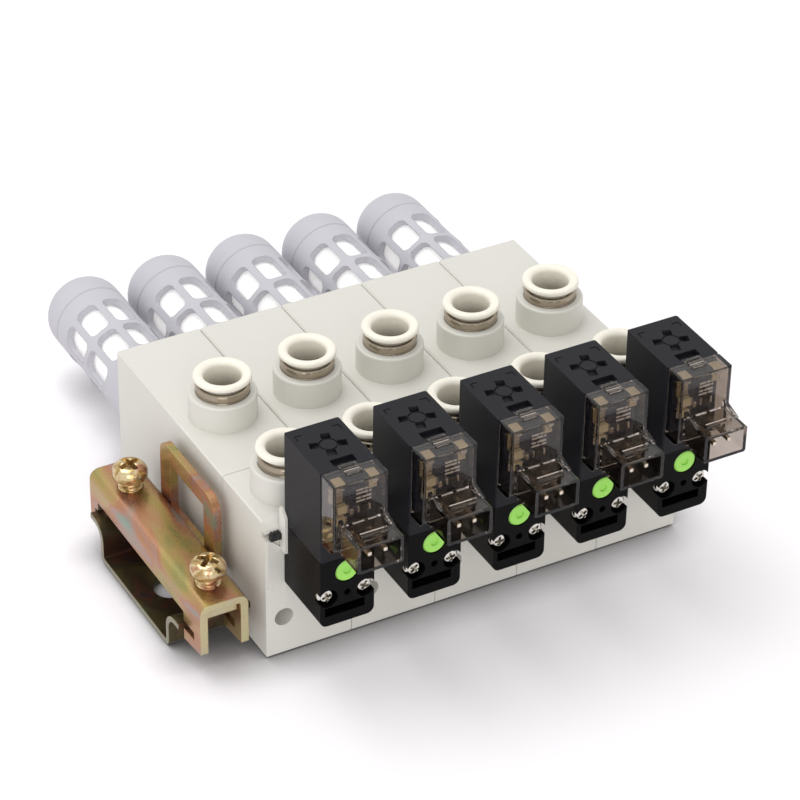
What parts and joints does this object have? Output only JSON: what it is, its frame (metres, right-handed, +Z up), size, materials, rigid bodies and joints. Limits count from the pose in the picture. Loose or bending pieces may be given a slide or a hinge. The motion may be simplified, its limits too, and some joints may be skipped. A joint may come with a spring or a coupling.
{
  "type": "vacuum ejector valve group",
  "caption": "Row of vacuum ejectors on a top-hat rail, with push-in tube fittings, pilot valves in front, silencers behind and an end clamp.",
  "frame": {"origin": "underside of the rail, on its centre line and under the middle of the row", "axes": "+X along the row from the clamp's end, +Y towards the silencers, +Z up through the tube ports"},
  "size_m": [0.0929, 0.119, 0.0456],
  "materials": {
    "body_grey": "satin moulded plastic, warm light grey",
    "ring_ivory": "satin ivory plastic",
    "nickel": "bright nickel plate",
    "spring_steel": "stainless spring steel",
    "black_rubber": "matt rubber",
    "silencer_grey": "satin cool grey plastic",
    "element_white": "porous sintered white plastic",
    "charcoal_plastic": "fine satin charcoal plastic",
    "black_plastic": "semi-gloss black plastic",
    "smoke_clear": "clear smoke-brown plastic",
    "green_plastic": "satin green plastic",
    "pin_metal": "tinned brass pins",
    "board_navy": "dark solder-resist board with parts",
    "brass": "turned brass",
    "yellow_zinc": "yellow-passivated zinc plate with pink and olive tints",
    "yellow_zinc_rail": "yellow-passivated zinc plate"
  },
  "bodies": {
    "frame": {"ejector_body_1": "body_grey", "valve_head_1": "body_grey", "coil_housing_1": "charcoal_plastic", "valve_base_1": "black_plastic", "smoke_cover_1": "smoke_clear", "silencer_cage_1": "silencer_grey", "ejector_body_2": "body_grey", "valve_head_2": "body_grey", "coil_housing_2": "charcoal_plastic", "valve_base_2": "black_plastic", "smoke_cover_2": "smoke_clear", "silencer_cage_2": "silencer_grey", "ejector_body_3": "body_grey", "valve_head_3": "body_grey", "coil_housing_3": "charcoal_plastic", "valve_base_3": "black_plastic", "smoke_cover_3": "smoke_clear", "silencer_cage_3": "silencer_grey", "ejector_body_4": "body_grey", "valve_head_4": "body_grey", "coil_housing_4": "charcoal_plastic", "valve_base_4": "black_plastic", "smoke_cover_4": "smoke_clear", "silencer_cage_4": "silencer_grey", "ejector_body_5": "body_grey", "valve_head_5": "body_grey", "coil_housing_5": "charcoal_plastic", "valve_base_5": "black_plastic", "smoke_cover_5": "smoke_clear", "silencer_cage_5": "silencer_grey", "silencer_elements": "element_white", "fitting_sleeves": "nickel", "grab_rings": "spring_steel", "tube_seals": "black_rubber", "valve_screws": "nickel", "valve_gaskets": "black_rubber", "connector_pins": "pin_metal", "circuit_boards": "board_navy", "nozzles": "brass", "diffusers": "brass", "din_rail": "yellow_zinc_rail", "clamp_channel": "yellow_zinc", "clamp_plate": "yellow_zinc", "clamp_loop": "yellow_zinc", "clamp_screws": "yellow_zinc"},
    "vacuum_ring_1": {"vacuum_ring_1": "ring_ivory"},
    "supply_ring_1": {"supply_ring_1": "ring_ivory"},
    "override_button_1": {"override_button_1": "green_plastic"},
    "vacuum_ring_2": {"vacuum_ring_2": "ring_ivory"},
    "supply_ring_2": {"supply_ring_2": "ring_ivory"},
    "override_button_2": {"override_button_2": "green_plastic"},
    "vacuum_ring_3": {"vacuum_ring_3": "ring_ivory"},
    "supply_ring_3": {"supply_ring_3": "ring_ivory"},
    "override_button_3": {"override_button_3": "green_plastic"},
    "vacuum_ring_4": {"vacuum_ring_4": "ring_ivory"},
    "supply_ring_4": {"supply_ring_4": "ring_ivory"},
    "override_button_4": {"override_button_4": "green_plastic"},
    "vacuum_ring_5": {"vacuum_ring_5": "ring_ivory"},
    "supply_ring_5": {"supply_ring_5": "ring_ivory"},
    "override_button_5": {"override_button_5": "green_plastic"}
  },
  "joints": [
    {"name": "vacuum_ring_1_press", "type": "slide", "parent": "frame", "child": "vacuum_ring_1", "axis": [0, 0, -1], "range_m": [0, 0.0008], "stiffness_N_per_m": 500},
    {"name": "supply_ring_1_press", "type": "slide", "parent": "frame", "child": "supply_ring_1", "axis": [0, 0, -1], "range_m": [0, 0.0008], "stiffness_N_per_m": 500},
    {"name": "override_button_1_press", "type": "slide", "parent": "frame", "child": "override_button_1", "axis": [0, 1, 0], "range_m": [0, 0.0008], "stiffness_N_per_m": 500},
    {"name": "vacuum_ring_2_press", "type": "slide", "parent": "frame", "child": "vacuum_ring_2", "axis": [0, 0, -1], "range_m": [0, 0.0008], "stiffness_N_per_m": 500},
    {"name": "supply_ring_2_press", "type": "slide", "parent": "frame", "child": "supply_ring_2", "axis": [0, 0, -1], "range_m": [0, 0.0008], "stiffness_N_per_m": 500},
    {"name": "override_button_2_press", "type": "slide", "parent": "frame", "child": "override_button_2", "axis": [0, 1, 0], "range_m": [0, 0.0008], "stiffness_N_per_m": 500},
    {"name": "vacuum_ring_3_press", "type": "slide", "parent": "frame", "child": "vacuum_ring_3", "axis": [0, 0, -1], "range_m": [0, 0.0008], "stiffness_N_per_m": 500},
    {"name": "supply_ring_3_press", "type": "slide", "parent": "frame", "child": "supply_ring_3", "axis": [0, 0, -1], "range_m": [0, 0.0008], "stiffness_N_per_m": 500},
    {"name": "override_button_3_press", "type": "slide", "parent": "frame", "child": "override_button_3", "axis": [0, 1, 0], "range_m": [0, 0.0008], "stiffness_N_per_m": 500},
    {"name": "vacuum_ring_4_press", "type": "slide", "parent": "frame", "child": "vacuum_ring_4", "axis": [0, 0, -1], "range_m": [0, 0.0008], "stiffness_N_per_m": 500},
    {"name": "supply_ring_4_press", "type": "slide", "parent": "frame", "child": "supply_ring_4", "axis": [0, 0, -1], "range_m": [0, 0.0008], "stiffness_N_per_m": 500},
    {"name": "override_button_4_press", "type": "slide", "parent": "frame", "child": "override_button_4", "axis": [0, 1, 0], "range_m": [0, 0.0008], "stiffness_N_per_m": 500},
    {"name": "vacuum_ring_5_press", "type": "slide", "parent": "frame", "child": "vacuum_ring_5", "axis": [0, 0, -1], "range_m": [0, 0.0008], "stiffness_N_per_m": 500},
    {"name": "supply_ring_5_press", "type": "slide", "parent": "frame", "child": "supply_ring_5", "axis": [0, 0, -1], "range_m": [0, 0.0008], "stiffness_N_per_m": 500},
    {"name": "override_button_5_press", "type": "slide", "parent": "frame", "child": "override_button_5", "axis": [0, 1, 0], "range_m": [0, 0.0008], "stiffness_N_per_m": 500}
  ]
}
